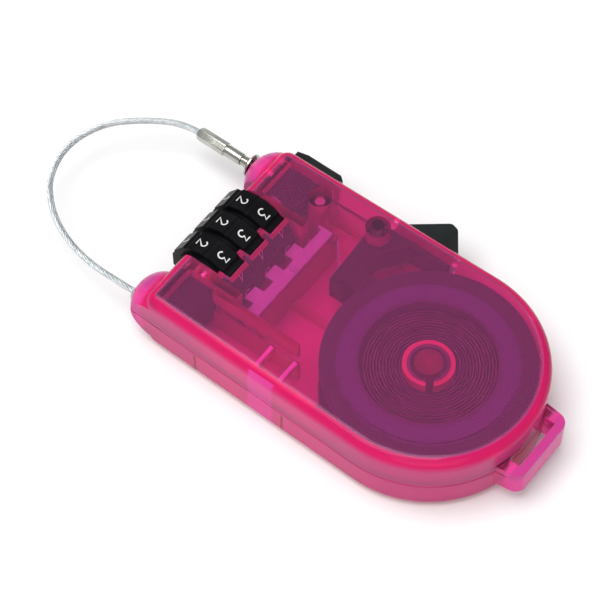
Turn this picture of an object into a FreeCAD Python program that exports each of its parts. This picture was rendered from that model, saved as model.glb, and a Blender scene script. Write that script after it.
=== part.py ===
"""Cable luggage lock: a flat retractable cable lock with three number dials.

The origin is on the resting face, on the axis of the cable spool.  +Z points to the
front face, +Y to the end with the dials and the cable, and +X to the side with the
release button and the brake lever.  All lengths are millimetres.
"""
import FreeCAD, Part
import math
import os
import re

import Sketcher
from FreeCAD import Placement, Rotation, Vector

SIZES = {
    # casing
    "end_radius": 21.5,
    "flank_side": 12.1,
    "body_height": 14.6,
    "wall": 1.5,
    "edge_round": 2.3,
    "corner_round": 2.4,
    "body_end": 47.7,
    "dial_y": 43.3,
    "dial_z": 8.0,
    "nose_tip": 52.3,
    "nose_side": 3.6,
    "nose_inset": 4.4,
    "nose_radius": 6.3,
    "seam_depth": 0.25,
    "seam_width": 0.3,
    "tab_half": 7.3,
    "tab_out": 3.5,
    "rib_side": 10.9,
    "rib_thick": 0.9,
    "rib_level": 6.4,
    "tab_bar": 1.7,
    "tab_low": 3.4,
    "tab_high": 9.0,
    "slot_half": 5.3,
    # number dials
    "dial_flat": 7.75,
    "dial_pitch": 5.8,
    "land_width": 4.4,
    "collar_radius": 6.5,
    "dial_bore": 5.25,
    "sleeve_radius": 5.2,
    "notch_radius": 1.0,
    "window_edge": 37.6,
    "tooth_length": 2.3,
    # release button and spindle
    "spindle_radius": 2.4,
    "button_long": 10.4,
    "button_shift": 1.9,
    "button_proud": 3.1,
    "arm_thick": 0.9,
    # plug and cable
    "plug_side": 8.4,
    "plug_radius": 1.4,
    "socket_wall": 0.4,
    "arm_gap": 0.2,
    "plug_tip": 40.8,
    "groove_y": 43.0,
    "groove_width": 1.1,
    "groove_radius": 0.85,
    "collar_flare": 2.65,
    "ferrule_start": 54.8,
    "ferrule_end": 65.2,
    "cable_side": 8.7,
    "cable_radius": 0.6,
    # spool
    "flange_radius": 19.2,
    "well_inset": 6.9,
    "ring_inset": 3.3,
    "winding_inset": 2.7,
    "spool_gap_low": 0.7,
    "spool_gap_high": 0.9,
    "flange_thick": 1.0,
    "arbor_radius": 4.7,
    "arbor_bore": 2.6,
    # brake lever
    "pivot_x": 17.1,
    "pivot_y": 23.7,
    "pin_radius": 1.2,
    "boss_radius": 2.3,
    "lever_low": 4.6,
    "lever_high": 10.0,
    "thumb_reach": 27.9,
    "lever_slot": 1.2,
    # fixings and clearances
    "screw_x": 15.9,
    "screw_y": 35.9,
    "screw_radius": 1.0,
    "head_radius": 1.95,
    "post_radius": 2.25,
    "post_split": 9.5,
    "run_gap": 0.08,
    "part_gap": 0.15,
    "soft_gap": 0.3,
}

# Sizes that follow from others, as expressions.
DERIVED = {
    "dials_half": "dial_pitch * 1.5",
    "flank_half": "dials_half + flank_side",
    "nose_inner": "dials_half + nose_side",
    "nose_x": "flank_half - nose_inset",
    "nose_y": "nose_tip - nose_radius",
    "plug_x": "dials_half + plug_side",
    "cable_x": "dials_half + cable_side",
    "tab_reach": "end_radius + tab_out",
    "middle": "body_height / 2",
    "dial_sweep": "dial_flat / cos(12 deg)",
    "socket_radius": "plug_radius + socket_wall",
    "button_half": "socket_radius + arm_gap + arm_thick",
    "button_y": "dial_y - button_shift",
    "ring_radius": "flange_radius - ring_inset",
    "winding_radius": "flange_radius - winding_inset",
    "well_radius": "flange_radius - well_inset",
    "spool_low": "wall + spool_gap_low",
    "spool_high": "body_height - wall - spool_gap_high",
}

# The free cable, from the mouth of the left prong round to the ferrule, in the mid plane.
CABLE_POINTS = [
    (-17.4, 52.3),
    (-17.6, 57.0),
    (-17.6, 63.0),
    (-16.2, 69.5),
    (-13.0, 75.7),
    (-7.9, 80.8),
    (0.0, 83.0),
    (7.9, 80.6),
    (13.0, 75.2),
    (16.9, 69.0),
    (17.1, 65.2),
]

doc = FreeCAD.newDocument("cable_luggage_lock")
sheet = doc.addObject("Spreadsheet::Sheet", "Sizes")
for row, (alias, value) in enumerate(SIZES.items(), start=1):
    sheet.set(f"A{row}", alias)
    sheet.set(f"B{row}", str(value))
    sheet.setAlias(f"B{row}", alias)
doc.recompute()

probe = doc.addObject("Part::Box", "probe")
nodes = {}


# ---------------------------------------------------------------- helpers
def bound(text):
    """An expression in which every named size is read from the sheet."""
    def cell(word):
        name = word.group()
        if name in DERIVED:
            return f"({bound(DERIVED[name])})"
        return "Sizes." + name if name in SIZES else name
    return re.sub(r"[a-z_]+[a-z_0-9]*", cell, str(text))


def value(text):
    """The number that an expression has now."""
    probe.setExpression("Length", bound(text))
    doc.recompute([probe])
    return probe.Length.Value


def bind(thing, **sizes):
    """Bind properties of an object to expressions; a double underscore stands for a dot."""
    for prop, text in sizes.items():
        thing.setExpression(prop.replace("__", "."), bound(text))
    return thing


def place(thing, x="0", y="0", z="0"):
    return bind(thing, Placement__Base__x=x, Placement__Base__y=y, Placement__Base__z=z)


def block(name, x, y, z):
    """A box between pairs of bounds along each axis."""
    thing = doc.addObject("Part::Box", name)
    bind(thing, Length=f"({x[1]}) - ({x[0]})")
    bind(thing, Width=f"({y[1]}) - ({y[0]})")
    bind(thing, Height=f"({z[1]}) - ({z[0]})")
    return place(thing, x[0], y[0], z[0])


def rod(name, radius, span, axis="z", at=("0", "0")):
    """A cylinder along an axis between two stations; at gives its other two coordinates."""
    thing = doc.addObject("Part::Cylinder", name)
    bind(thing, Radius=radius, Height=f"({span[1]}) - ({span[0]})")
    if axis == "x":
        thing.Placement = Placement(Vector(), Rotation(Vector(0, 1, 0), 90))
        return place(thing, span[0], at[0], at[1])
    if axis == "y":
        thing.Placement = Placement(Vector(), Rotation(Vector(1, 0, 0), -90))
        return place(thing, at[0], span[0], at[1])
    return place(thing, at[0], at[1], span[0])


def cut(name, base, *tools):
    thing = doc.addObject("Part::Cut", name)
    thing.Base = base
    thing.Tool = tools[0] if len(tools) == 1 else fuse(name + "_tool", *tools)
    return thing


def fuse(name, *parts):
    thing = doc.addObject("Part::MultiFuse", name)
    thing.Shapes = list(parts)
    return thing


def common(name, base, tool):
    thing = doc.addObject("Part::Common", name)
    thing.Base = base
    thing.Tool = tool
    return thing


def origin_plane(body, role):
    return next(f for f in body.Origin.OriginFeatures if f.Role == role)


def polygon(body, name, points, role="XY_Plane"):
    """A closed sketch of straight sides, each corner dimensioned from the sheet."""
    sketch = body.newObject("Sketcher::SketchObject", name)
    sketch.AttachmentSupport = [(origin_plane(body, role), "")]
    sketch.MapMode = "FlatFace"
    rough = [Vector(math.cos(2 * math.pi * i / len(points)),
                    math.sin(2 * math.pi * i / len(points)), 0) for i in range(len(points))]
    for i, start in enumerate(rough):
        sketch.addGeometry(Part.LineSegment(start, rough[(i + 1) % len(rough)]), False)
    for i, (across, along) in enumerate(points):
        sketch.addConstraint(Sketcher.Constraint("Coincident", i, 2, (i + 1) % len(points), 1))
        first = sketch.addConstraint(Sketcher.Constraint("DistanceX", -1, 1, i, 1, rough[i].x))
        second = sketch.addConstraint(Sketcher.Constraint("DistanceY", -1, 1, i, 1, rough[i].y))
        sketch.setExpression(f"Constraints[{first}]", bound(across))
        sketch.setExpression(f"Constraints[{second}]", bound(along))
    return sketch


def pad(body, name, sketch, length):
    feature = body.newObject("PartDesign::Pad", name)
    feature.Profile = sketch
    bind(feature, Length=length)
    return feature


def prism(name, points, z):
    """A straight-sided plate between two heights, as a body with one pad."""
    body = doc.addObject("PartDesign::Body", name)
    pad(body, name + "_pad", polygon(body, name + "_sketch", points), f"({z[1]}) - ({z[0]})")
    return place(body, z=z[0])


def turned(name, points, x="0", y="0", z="0"):
    """A body of revolution about an axis parallel to Y; points are (radius, station)."""
    body = doc.addObject("PartDesign::Body", name)
    sketch = polygon(body, name + "_sketch", points)
    feature = body.newObject("PartDesign::Revolution", name + "_turn")
    feature.Profile = sketch
    feature.ReferenceAxis = (sketch, ["V_Axis"])
    feature.Angle = 360
    return place(body, x, y, z)


def rounded(body, name, radius, chosen):
    """Fillet the edges of a body's tip that a test chooses."""
    doc.recompute()
    tip = body.Tip
    names = [f"Edge{i}" for i, e in enumerate(tip.Shape.Edges, start=1) if chosen(e)]
    feature = body.newObject("PartDesign::Fillet", name)
    feature.Base = (tip, names)
    bind(feature, Radius=radius)
    return feature


def upright(edge):
    low, high = edge.Vertexes[0].Point, edge.Vertexes[-1].Point
    return abs(low.z - high.z) > 0.5 and abs(low.x - high.x) < 0.01 and abs(low.y - high.y) < 0.01


def node(name, thing):
    """Name an object as one of the lock's pieces."""
    thing.Label = name
    nodes[name] = thing
    return thing


def shape_feature(name, shape):
    thing = doc.addObject("Part::Feature", name)
    thing.Shape = shape
    return thing


DIAL_AXIS = ("dial_y", "dial_z")
FAR = "nose_tip + 10"
DIALS = (-1, 0, 1)


# ---------------------------------------------------------------- casing
def casing_block():
    """The outside of the casing without its noses and its tab."""
    body = doc.addObject("PartDesign::Body", "casing_block")
    flanks = polygon(body, "casing_flanks", [
        ("-end_radius", "0"),
        ("end_radius", "0"),
        ("flank_half", "body_end"),
        ("-flank_half", "body_end"),
    ])
    pad(body, "casing_flanks_pad", flanks, "body_height")
    ring = body.newObject("Sketcher::SketchObject", "casing_end")
    ring.AttachmentSupport = [(origin_plane(body, "XY_Plane"), "")]
    ring.MapMode = "FlatFace"
    ring.addGeometry(Part.Circle(Vector(), Vector(0, 0, 1), SIZES["end_radius"]), False)
    ring.addConstraint(Sketcher.Constraint("Coincident", 0, 3, -1, 1))
    number = ring.addConstraint(Sketcher.Constraint("Radius", 0, SIZES["end_radius"]))
    ring.setExpression(f"Constraints[{number}]", bound("end_radius"))
    pad(body, "casing_end_pad", ring, "body_height")
    rounded(body, "casing_corners", "corner_round",
            lambda e: upright(e) and e.CenterOfMass.y > SIZES["body_end"] - 1)
    rounded(body, "casing_edges", "edge_round", lambda e: not upright(e))
    return body


def dome(name, sign, inset="0"):
    """The ball that rounds the end of a prong, and with an inset a smaller one inside it."""
    ball = doc.addObject("Part::Sphere", name)
    bind(ball, Radius=f"nose_radius - {inset}")
    return place(ball, f"{sign} * nose_x", "nose_y", "middle")


def noses():
    """The two domes, cut flat at the flanks and beside the dials."""
    parts = []
    for sign, word in ((-1, "left"), (1, "right")):
        flank = prism(f"nose_room_{word}", [
            (f"{sign} * nose_inner", "dial_y - 4"),
            (f"{sign} * (end_radius + (flank_half - end_radius) * (dial_y - 4) / body_end)",
             "dial_y - 4"),
            (f"{sign} * flank_half", "body_end"),
            (f"{sign} * flank_half", FAR),
            (f"{sign} * nose_inner", FAR),
        ], ("0", "body_height"))
        parts.append(common(f"nose_{word}", dome(f"nose_dome_{word}", sign), flank))
    return parts


def lanyard_tab():
    """The slotted tab on the round end that takes a lanyard or key ring."""
    body = doc.addObject("PartDesign::Body", "lanyard_tab")
    sketch = polygon(body, "tab_sketch", [
        ("-tab_half", "-tab_reach"),
        ("tab_half", "-tab_reach"),
        ("tab_half + 0.6", "2 - end_radius"),
        ("-tab_half - 0.6", "2 - end_radius"),
    ])
    pad(body, "tab_pad", sketch, "tab_high - tab_low")
    place(body, z="tab_low")
    reach = value("tab_reach")
    rounded(body, "tab_corners", "2.2",
            lambda e: upright(e) and e.CenterOfMass.y < 1 - reach)
    slot = block("tab_slot", ("-slot_half", "slot_half"),
                 ("tab_bar - tab_reach", "-end_radius + 0.4"), ("0", "body_height"))
    clear = rod("tab_slot_floor", "end_radius - 0.2", ("0", "body_height"))
    return cut("tab_open", body, cut("tab_slot_open", slot, clear))


def cavity():
    """The hollow inside the casing, with the dial chamber and the two prong pockets."""
    tall = ("wall", "body_height - wall")
    inner_low = "end_radius - wall"
    inner_high = "flank_half - wall + 0.2"
    chamber_y = "dial_y - dial_sweep - 1"
    prong_y = "body_end - wall - 1.2"
    nose_wall = "wall + 2"
    parts = [
        rod("hollow_end", inner_low, tall),
        prism("hollow_flanks", [
            (f"-({inner_low})", "0"),
            (inner_low, "0"),
            (inner_high, chamber_y),
            (f"-({inner_high})", chamber_y),
        ], tall),
        block("hollow_back_of_dials", ("-dials_half - 0.1", "dials_half + 0.1"),
              (f"{chamber_y} - 1", "dial_y"), tall),
        rod("hollow_collars", "collar_radius + part_gap",
            ("-dials_half - 0.1", "dials_half + 0.1"), "x", DIAL_AXIS),
    ]
    for i in DIALS:
        span = (f"{i} * dial_pitch - land_width / 2 - part_gap",
                f"{i} * dial_pitch + land_width / 2 + part_gap")
        parts.append(rod(f"hollow_dial_{i + 2}", "dial_sweep + part_gap", span, "x", DIAL_AXIS))
        parts.append(block(f"window_slot_{i + 2}", span, ("window_edge", FAR),
                           ("-1", "body_height + 1")))
    parts.append(block("window", ("-dials_half - 0.1", "dials_half + 0.1"),
                       ("window_edge + tooth_length", FAR), ("-1", "body_height + 1")))
    for sign, word in ((-1, "left"), (1, "right")):
        mid = (nose_wall, f"body_height - ({nose_wall})")
        for name, near, y, z in (
                ("prong", "dials_half + 1.7", (f"{chamber_y} - 1", prong_y), tall),
                ("end", "dials_half + 1.7", (prong_y, "body_end - 0.7"), mid),
                ("nose", "nose_inner + 1.2", (prong_y, "nose_tip - wall - 2"), mid)):
            far = "flank_half - wall + 0.1"
            span = (near, far) if sign > 0 else (f"-({far})", f"-({near})")
            parts.append(block(f"hollow_{name}_{word}", span, y, z))
    return fuse("cavity", *parts)


def openings():
    """Holes through the casing: spindle, cable mouth, plug mouth, button and lever."""
    flank = ("flank_half - wall - 0.5", "end_radius + 2")
    lever_flank = ("end_radius - wall - lever_slot", "end_radius + 2")
    lever_y = ("pivot_y - 15.2", "pivot_y - 0.6")
    return [
        rod("spindle_way", "spindle_radius + run_gap",
            ("-dials_half - 3", "dials_half + 3"), "x", DIAL_AXIS),
        rod("cable_mouth", "cable_radius + 1.1", ("dial_y", FAR), "y", ("-cable_x", "middle")),
        rod("plug_mouth", "plug_radius + 0.5", ("dial_y", FAR), "y", ("plug_x", "middle")),
        block("button_way", flank,
              ("button_y - button_long / 2 - part_gap", "button_y + button_long / 2 + part_gap"),
              ("middle - button_half - part_gap", "middle + button_half + part_gap")),
        block("lever_way", lever_flank, lever_y,
              ("lever_low - soft_gap", "lever_high + soft_gap")),
    ]


def seam_groove():
    """The shallow groove where the two shells meet."""
    outer = block("seam_outer", ("-end_radius - 5", "end_radius + 5"),
                  ("-end_radius - 1", "nose_tip + 1"),
                  ("middle - seam_width / 2", "middle + seam_width / 2"))
    deep = ("middle - 1", "middle + 1")
    inner = prism("seam_inner_flanks", [
        ("seam_depth - end_radius", "0"),
        ("end_radius - seam_depth", "0"),
        ("flank_half - seam_depth", "body_end - corner_round"),
        ("flank_half - corner_round", "body_end - seam_depth"),
        ("corner_round - flank_half", "body_end - seam_depth"),
        ("seam_depth - flank_half", "body_end - corner_round"),
    ], deep)
    end = rod("seam_inner_end", "end_radius - seam_depth", deep)
    domes = [common(f"seam_dome_{word}", dome(f"seam_ball_{word}", sign, "seam_depth"),
                    block(f"seam_room_{word}", ("-flank_half + seam_depth", "flank_half - seam_depth"),
                          ("dial_y", FAR), deep))
             for sign, word in ((-1, "left"), (1, "right"))]
    return cut("seam_groove", outer, inner, end, *domes)


def boss(name, x, y, radius, z, bore=None):
    """A round post on a shell, with a bore where a pin or screw goes in."""
    post = rod(name + "_post", radius, z, "z", (x, y))
    if bore is None:
        return post
    return cut(name, post, rod(name + "_bore", bore, (z[0], f"{z[1]} + 0.1"), "z", (x, y)))


def shells():
    outside = fuse("casing_outside", casing_block(), lanyard_tab(), *noses())
    hollow = cut("casing_hollow", outside, cavity(), seam_groove(), *openings())
    every = ("-end_radius - 10", "end_radius + 10")
    long = ("-tab_reach - 10", FAR)
    upper = block("upper_half", every, long, ("middle", "body_height + 5"))
    lower = block("lower_half", every, long, ("-5", "middle"))
    hollow.Label = "casing_hollow_shape"
    floor = "wall - 0.1"
    ceiling = "body_height - wall + 0.1"
    rib_y = "pivot_y + 6.2"
    left = ("-rib_side - rib_thick", "-rib_side")
    back_ribs = [
        block("rib_cross", ("-9.5", "13.6"), (rib_y, f"{rib_y} + rib_thick"), (floor, "8.5")),
        block("rib_centre", ("-rib_thick / 2", "rib_thick / 2"), ("flange_radius + 0.6", rib_y),
              (floor, "4.2")),
        block("rib_left", left, ("flange_radius + 0.6", "dial_y - 4.6"), (floor, "rib_level")),
        boss("screw_boss", "screw_x", "screw_y", "post_radius", (floor, "post_split"),
             "screw_radius"),
        rod("pivot_seat_low", "boss_radius", (floor, "lever_low - run_gap"), "z",
            ("pivot_x", "pivot_y")),
    ]
    front_ribs = [
        block("front_rib_left", left, ("flange_radius + 0.6", "dial_y - 4.6"),
              ("rib_level + 3.2", ceiling)),
        block("snap_clip", ("-flank_half + wall - 0.3", "-14.2"), ("18.4", "22.9"),
              ("10.6", ceiling)),
        rod("pivot_seat_high", "boss_radius", ("lever_high + run_gap", ceiling), "z",
            ("pivot_x", "pivot_y")),
        rod("screw_seat", "post_radius", ("post_split", ceiling), "z", ("screw_x", "screw_y")),
    ]
    pin_hole = rod("pivot_pin_hole", "pin_radius", ("0.8", "body_height - 0.8"), "z",
                   ("pivot_x", "pivot_y"))
    screw_hole = rod("screw_hole", "screw_radius", ("-1", "11.6"), "z", ("screw_x", "screw_y"))
    screw_head = rod("screw_recess", "head_radius + 0.1", ("-1", "1.2"), "z", ("screw_x", "screw_y"))
    # The spool runs inside, so everything on the shells keeps clear of its sweep.
    sweep = rod("spool_sweep", "flange_radius + soft_gap",
                ("spool_low - soft_gap", "spool_high + 0.9"))
    back = fuse("back_all", common("back_half", hollow, lower), *back_ribs)
    front = fuse("front_all", common("front_half", hollow, upper), *front_ribs)
    node("back_shell", cut("back_cut", back, pin_hole, screw_hole, screw_head, sweep))
    node("front_shell", cut("front_cut", front, pin_hole, screw_hole, sweep))


# ---------------------------------------------------------------- number dials
def dial(number, i):
    """One dial: a ten-sided land with scalloped corners between two smooth collars."""
    centre = f"{i} * dial_pitch"
    corner = "dial_flat / cos(18 deg)"
    body = doc.addObject("PartDesign::Body", f"dial_{number}_land")
    points = [(f"{corner} * cos({36 * k} deg)", f"{corner} * sin({36 * k} deg)")
              for k in range(10)]
    pad(body, f"dial_{number}_pad", polygon(body, f"dial_{number}_sketch", points), "land_width")
    body.Placement = Placement(Vector(), Rotation(Vector(0, 1, 0), 90))
    place(body, f"{centre} - land_width / 2", *DIAL_AXIS)
    notches = []
    for k in range(10):
        angle = f"{36 * k} deg"
        notch_at = (f"dial_y + ({corner} + notch_radius * 0.45) * sin({angle})",
                    f"dial_z + ({corner} + notch_radius * 0.45) * cos({angle})")
        notches.append(rod(f"dial_{number}_notch_{k}", "notch_radius",
                           (f"{centre} - land_width / 2 - 1", f"{centre} + land_width / 2 + 1"),
                           "x", notch_at))
    scalloped = cut(f"dial_{number}_scalloped", body, *notches)
    half = "dial_pitch / 2 - 0.05"
    collar = rod(f"dial_{number}_collar", "collar_radius",
                 (f"{centre} - ({half})", f"{centre} + {half}"), "x", DIAL_AXIS)
    bore = rod(f"dial_{number}_bore", "dial_bore",
               (f"{centre} - dial_pitch", f"{centre} + dial_pitch"), "x", DIAL_AXIS)
    node(f"dial_{number}_ring", cut(f"dial_{number}_bored",
                                    fuse(f"dial_{number}_whole", scalloped, collar), bore))
    sleeve = rod(f"sleeve_{number}_outside", "sleeve_radius",
                 (f"{centre} - ({half})", f"{centre} + {half}"), "x", DIAL_AXIS)
    way = rod(f"sleeve_{number}_bore", "spindle_radius + run_gap",
              (f"{centre} - dial_pitch", f"{centre} + dial_pitch"), "x", DIAL_AXIS)
    well = rod(f"sleeve_{number}_well", "spindle_radius + 1.2",
               (f"{centre} - 1.4", f"{centre} + dial_pitch"), "x", DIAL_AXIS)
    gate = block(f"sleeve_{number}_gate", (f"{centre} - dial_pitch", f"{centre}"),
                 ("dial_y - 0.6", "dial_y + 0.6"), ("dial_z", "dial_z + spindle_radius + 1.2"))
    node(f"dial_{number}_sleeve", cut(f"sleeve_{number}_cut", sleeve, way, well, gate))


# ---------------------------------------------------------------- release button and spindle
def release():
    """The button, its two arms round the plug, its yoke, and the spindle it pushes."""
    flank = "(end_radius + (flank_half - end_radius) * dial_y / body_end)"
    low, high = "middle - button_half", "middle + button_half"
    face = ("button_y - button_long / 2", "button_y + button_long / 2")
    yoke_x = ("dials_half + 3.7", "dials_half + 4.9")
    cap_x = (f"{flank} + 0.3", f"{flank} + button_proud")
    cap = doc.addObject("PartDesign::Body", "button_cap")
    outline = polygon(cap, "button_cap_sketch", [
        (cap_x[0], face[0]),
        (f"{cap_x[1]} - 0.7", face[0]),
        (cap_x[1], f"{face[0]} + 0.9"),
        (cap_x[1], f"{face[1]} - 2.0"),
        (f"{cap_x[1]} - 0.5", face[1]),
        (cap_x[0], face[1]),
    ])
    pad(cap, "button_cap_pad", outline, "2 * button_half")
    place(cap, z=low)
    flank_now = value("flank_half")
    rounded(cap, "button_cap_edges", "0.45",
            lambda e: e.BoundBox.XMin > flank_now + 1.0 and not upright(e))
    arm_y = ("dial_y - 4.3", "body_end - 1.0")
    arm_x = (yoke_x[0], f"{cap_x[0]} + 0.2")
    parts = [
        cap,
        block("button_arm_low", arm_x, arm_y, (low, f"{low} + arm_thick")),
        block("button_arm_high", arm_x, arm_y, (f"{high} - arm_thick", high)),
        block("button_yoke", yoke_x, arm_y, (low, high)),
    ]
    node("release_button", fuse("button_whole", *parts))
    spindle = rod("spindle_rod", "spindle_radius", ("-dials_half - 2.6", yoke_x[0]),
                  "x", DIAL_AXIS)
    nose = rod("spindle_nose", "spindle_radius - 1.2",
               ("-dials_half - 5", "-dials_half - 2.5"), "x", DIAL_AXIS)
    node("lock_spindle", fuse("spindle_whole", spindle, nose))


def coil(name, radius, wire, pitch, height):
    """A round-wire compression spring along +Z."""
    spine = doc.addObject("Part::Helix", name + "_spine")
    bind(spine, Radius=radius, Pitch=pitch, Height=height)
    spine.SegmentLength = 0.25
    profile = doc.addObject("Part::Circle", name + "_profile")
    bind(profile, Radius=wire)
    profile.Placement = Placement(Vector(), Rotation(Vector(1, 0, 0), 90))
    place(profile, x=radius)
    doc.recompute()
    sweep = doc.addObject("Part::Sweep", name)
    sweep.Sections = [profile]
    sweep.Spine = (spine, [f"Edge{i + 1}" for i in range(len(spine.Shape.Edges))])
    sweep.Solid = True
    sweep.Frenet = True
    return sweep


def left_prong():
    """The black block that guides the cable and holds the spindle's return spring."""
    near, far = "-dials_half - 1.85", "-cable_x - 1.3"
    body = block("guide_block", (far, near), ("dial_y - 4.2", "dial_y + 3.6"),
                 ("middle - 3.7", "middle + 3.7"))
    spring_way = rod("guide_spring_way", "spindle_radius + run_gap",
                     ("-dials_half - 7.2", "0"), "x", DIAL_AXIS)
    cable_way = rod("guide_cable_way", "cable_radius + soft_gap", ("0", FAR), "y",
                    ("-cable_x", "middle"))
    node("cable_guide", cut("guide_cut", body, spring_way, cable_way))
    spring = coil("spring_coil", "spindle_radius - 0.65", "0.22", "0.8", "3.9")
    spring.Placement = Placement(Vector(), Rotation(Vector(0, 1, 0), 90))
    place(spring, "-dials_half - 6.85", *DIAL_AXIS)
    node("spindle_spring", spring)
    grommet = turned("grommet", [
        ("cable_radius + 0.2", "nose_tip - 3.4"),
        ("cable_radius + 1.05", "nose_tip - 3.4"),
        ("cable_radius + 1.05", "nose_tip - 0.4"),
        ("cable_radius + 0.7", "nose_tip - 0.05"),
        ("cable_radius + 0.2", "nose_tip - 0.05"),
    ], x="-cable_x", z="middle")
    node("cable_grommet", grommet)


def right_prong():
    """The socket that the plug slides into and the sprung catch that holds its groove."""
    tube = rod("socket_outside", "socket_radius", ("plug_tip - 0.9", "nose_tip - 0.4"), "y",
               ("plug_x", "middle"))
    bore = rod("socket_bore", "plug_radius + run_gap", ("plug_tip - 0.3", FAR), "y",
               ("plug_x", "middle"))
    slot = block("socket_slot", ("plug_x - 5", "plug_x"), ("groove_y - 0.2", "groove_y + 1.3"),
                 ("middle - 1.3", "middle + 1.3"))
    node("plug_socket", cut("socket_cut", tube, bore, slot))
    leaf_x = "plug_x - 3.15"
    leaf = block("catch_leaf", (leaf_x, f"{leaf_x} + 0.3"), ("groove_y + 0.1", "nose_tip - wall - 2"),
                 ("middle - 1.1", "middle + 1.1"))
    tip = block("catch_tip", (leaf_x, "plug_x - groove_radius - 0.1"),
                ("groove_y + 0.1", "groove_y + groove_width - 0.1"), ("middle - 1.1", "middle + 1.1"))
    node("plug_catch", fuse("catch_whole", leaf, tip))


# ---------------------------------------------------------------- cable
def cable_path():
    """Straight runs joined by arcs that are tangent to them, through the hand-set points."""
    points = [Vector(x, y, SIZES["body_height"] / 2) for x, y in CABLE_POINTS]
    edges = []
    start = points[0]
    for before, here, after in zip(points, points[1:], points[2:]):
        back, ahead = before - here, after - here
        shorter = min(back.Length, ahead.Length)
        back.normalize()
        ahead.normalize()
        half_turn = (math.pi - back.getAngle(ahead)) / 2
        radius = 0.45 * shorter / math.tan(half_turn)
        first, last = here + back * 0.45 * shorter, here + ahead * 0.45 * shorter
        inward = back + ahead
        inward.normalize()
        centre = here + inward * (radius / math.cos(half_turn))
        middle = centre - inward * radius
        edges.append(Part.LineSegment(start, first).toShape())
        edges.append(Part.Arc(first, middle, last).toShape())
        start = last
        print(f"cable bend radius {radius:.1f} mm at {here.x:.1f}, {here.y:.1f}")
    edges.append(Part.LineSegment(start, points[-1]).toShape())
    return Part.Wire(edges)


def cable():
    path = cable_path()
    along = Vector(CABLE_POINTS[1][0] - CABLE_POINTS[0][0],
                   CABLE_POINTS[1][1] - CABLE_POINTS[0][1], 0)
    start = Vector(*CABLE_POINTS[0], SIZES["body_height"] / 2)
    section = Part.Wire(Part.makeCircle(SIZES["cable_radius"], start, along))
    tube = path.makePipeShell([section], True, False)
    expected = math.pi * SIZES["cable_radius"] ** 2 * path.Length
    print(f"cable loop {path.Length:.1f} mm, volume {tube.Volume:.2f} of {expected:.2f} mm3")
    node("cable_loop", shape_feature("cable_loop_tube", tube))
    node("cable_lead", rod("lead_tube", "cable_radius", ("0", "nose_tip"), "y",
                           ("-cable_x", "middle")))
    node("cable_plug", turned("plug_turned", [
        ("0", "plug_tip"),
        ("plug_radius - 0.5", "plug_tip"),
        ("plug_radius", "plug_tip + 0.8"),
        ("plug_radius", "groove_y"),
        ("groove_radius", "groove_y"),
        ("groove_radius", "groove_y + groove_width"),
        ("plug_radius", "groove_y + groove_width + 0.2"),
        ("plug_radius", "nose_tip + 0.2"),
        ("collar_flare", "nose_tip + 0.2"),
        ("collar_flare", "nose_tip + 0.9"),
        ("plug_radius + 0.35", "nose_tip + 1.8"),
        ("plug_radius + 0.35", "ferrule_start"),
        ("0", "ferrule_start"),
    ], x="plug_x", z="middle"))
    node("cable_ferrule", turned("ferrule_turned", [
        ("0", "ferrule_start"),
        ("plug_radius", "ferrule_start"),
        ("plug_radius", "ferrule_start + 3.6"),
        ("plug_radius - 0.12", "ferrule_start + 3.7"),
        ("plug_radius - 0.12", "ferrule_end - 0.4"),
        ("plug_radius - 0.5", "ferrule_end"),
        ("0", "ferrule_end"),
    ], x="plug_x", z="middle"))


# ---------------------------------------------------------------- spool
def spool():
    """The drum, its front flange, the wound cable, the fixed arbor and the power spring."""
    low_top = "spool_low + flange_thick"
    high_low = "spool_high - flange_thick"
    wheel = fuse("drum_whole",
                 rod("drum_floor", "flange_radius", ("spool_low", low_top)),
                 rod("drum_hub", "well_radius + 0.9", ("spool_low", high_low)))
    well = rod("drum_well", "well_radius", (low_top, "body_height"))
    bearing = rod("drum_bearing", "arbor_radius + run_gap", ("0", "body_height"))
    node("spool_drum", cut("drum_cut", wheel, well, bearing))
    flange = fuse("flange_whole",
                  rod("flange_disc", "flange_radius", (high_low, "spool_high")),
                  rod("flange_ring", "ring_radius", ("spool_high - 0.1", "spool_high + 0.4")))
    node("spool_flange", cut("flange_cut", flange, rod("flange_hole", "well_radius",
                                                       ("0", "body_height"))))
    winding = rod("winding_whole", "winding_radius",
                  (f"{low_top} + 0.1", f"{high_low} - 0.1"))
    node("cable_winding", cut("winding_cut", winding,
                              rod("winding_hole", "well_radius + 1.0", ("0", "body_height"))))
    post = rod("arbor_post", "arbor_radius", ("wall", "spool_high + 0.2"))
    bore = rod("arbor_hollow", "arbor_bore + 0.7", ("spool_low + 1.6", "body_height"))
    core = rod("arbor_core", "arbor_bore", ("wall", "spool_high + 0.6"))
    gap = block("arbor_gap", ("-arbor_radius - 1", "0"), ("-0.7", "0.7"),
                ("spool_low + 1.6", "body_height"))
    gap.Placement = Placement(Vector(), Rotation(Vector(0, 0, 1), 38))
    place(gap, "(-arbor_radius - 1) * cos(38 deg) + 0.7 * sin(38 deg)",
          "(-arbor_radius - 1) * sin(38 deg) - 0.7 * cos(38 deg)", "spool_low + 1.6")
    node("spool_arbor", fuse("arbor_whole", cut("arbor_cup", post, bore, gap), core))
    node("power_spring", shape_feature("spiral", spiral_spring()))


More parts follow.
